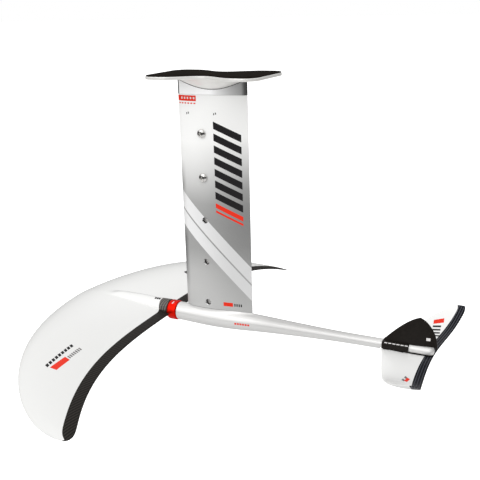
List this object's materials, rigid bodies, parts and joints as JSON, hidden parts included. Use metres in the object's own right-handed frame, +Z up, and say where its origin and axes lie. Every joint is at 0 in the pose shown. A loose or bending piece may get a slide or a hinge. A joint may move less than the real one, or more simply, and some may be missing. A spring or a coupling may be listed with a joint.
{
  "type": "hydrofoil mast wing",
  "caption": "Hydrofoil for a board: lobed board plate, foil-section mast that telescopes, tapered fuselage, drooped crescent front wing, small upturned stabiliser and a swept fin.",
  "frame": {"origin": "top face that bolts to the board, over the middle of the mast's chord", "axes": "+X aft towards the stabiliser, +Y across the span, +Z up out of the board face"},
  "size_m": [0.6604, 0.7366, 0.4406],
  "materials": {
    "alloy": "bright brushed and polished",
    "silver_paint": "satin silver coating, paler at the head and greyer at mid height",
    "rubber_pad": "matt black sheet rubber",
    "steel": "polished stainless",
    "acetal": "black acetal",
    "red_anodised": "satin red anodised",
    "white_gloss": "glossy white gelcoat over carbon",
    "carbon": "clear-coated twill carbon",
    "black_composite": "semi-gloss black composite"
  },
  "bodies": {
    "mast_and_plate": {"top_plate": "alloy", "deck_gasket": "rubber_pad", "head_bolt_front": "steel", "head_bolt_rear": "steel", "mast_sleeve": "silver_paint", "sleeve_bush": "acetal", "lock_bar": "steel", "lock_bolt_upper": "steel", "lock_bolt_lower": "steel"},
    "foil": {"mast_core": "alloy", "core_glide": "acetal", "fuselage": "silver_paint", "foot_bolt_front": "steel", "foot_bolt_mid": "steel", "foot_bolt_rear": "steel", "collar_ring": "red_anodised", "front_wing": "white_gloss", "wing_bolt_front": "steel", "wing_bolt_mid": "steel", "wing_bolt_rear": "steel", "stabiliser": "white_gloss", "tail_shim": "carbon", "tail_fin": "black_composite", "tail_bolt_front": "steel", "tail_bolt_rear": "steel"}
  },
  "joints": [
    {"name": "mast_height", "type": "slide", "parent": "mast_and_plate", "child": "foil", "axis": [0, 0, -1], "range_m": [0, 0.21]}
  ]
}
